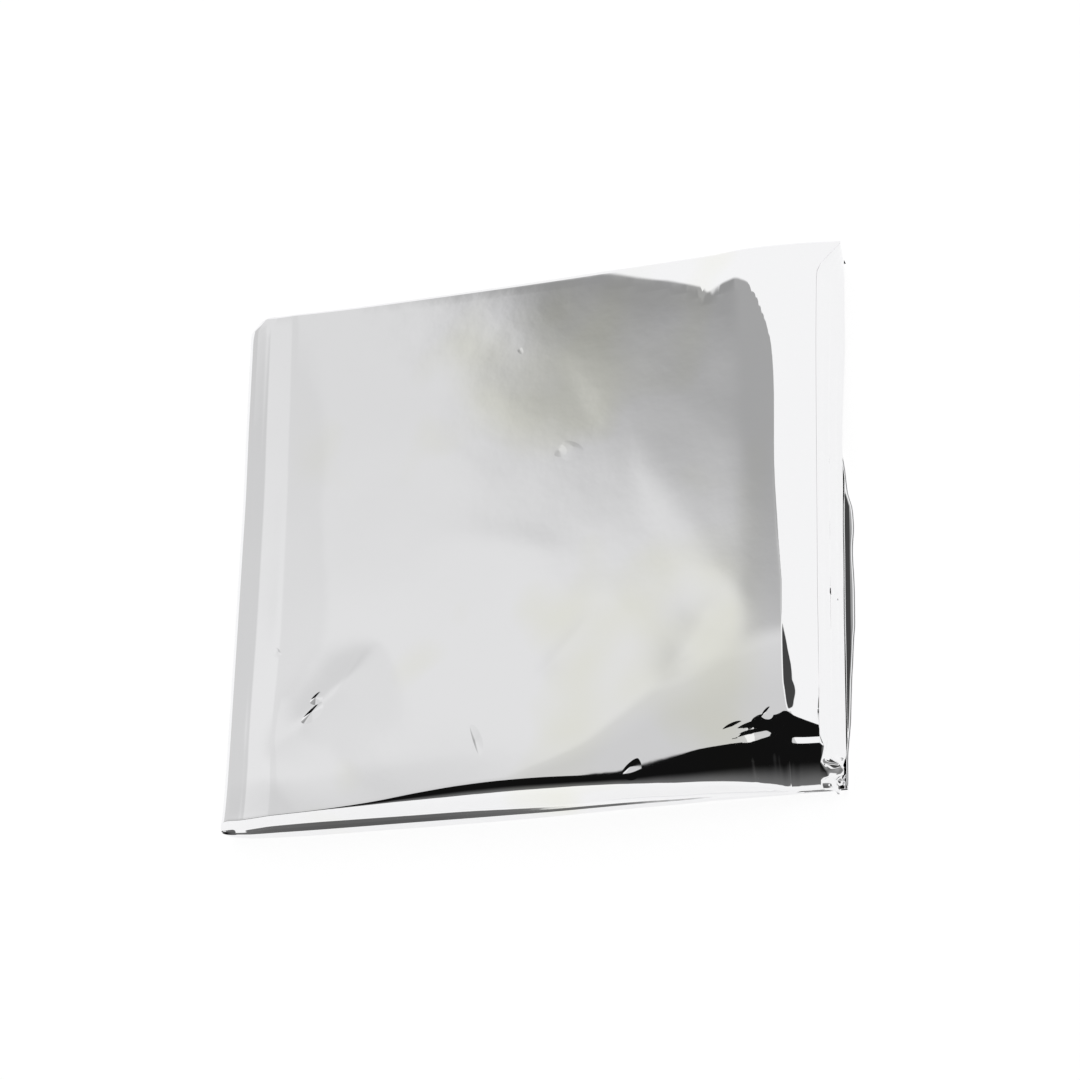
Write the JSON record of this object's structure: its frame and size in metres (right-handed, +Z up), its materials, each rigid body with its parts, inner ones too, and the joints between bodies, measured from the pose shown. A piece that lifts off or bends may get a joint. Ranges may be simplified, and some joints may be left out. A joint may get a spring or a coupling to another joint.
{
  "type": "folded emergency foil blanket",
  "caption": "Metallised film emergency blanket, folded back and forth into a flat packet with a thick spine, a rounded left edge and softly curled front and back.",
  "frame": {"origin": "middle of the packet's underside, on the surface it lies on", "axes": "+X from the rounded left edge towards the thick spine, +Y from the front to the back, +Z up through the layers"},
  "size_m": [0.134, 0.118, 0.0166],
  "materials": {
    "metallised_film": "mirror-bright aluminised polyester film, softly creased"
  },
  "bodies": {
    "root": {"foil_strip": "metallised_film"}
  },
  "joints": []
}
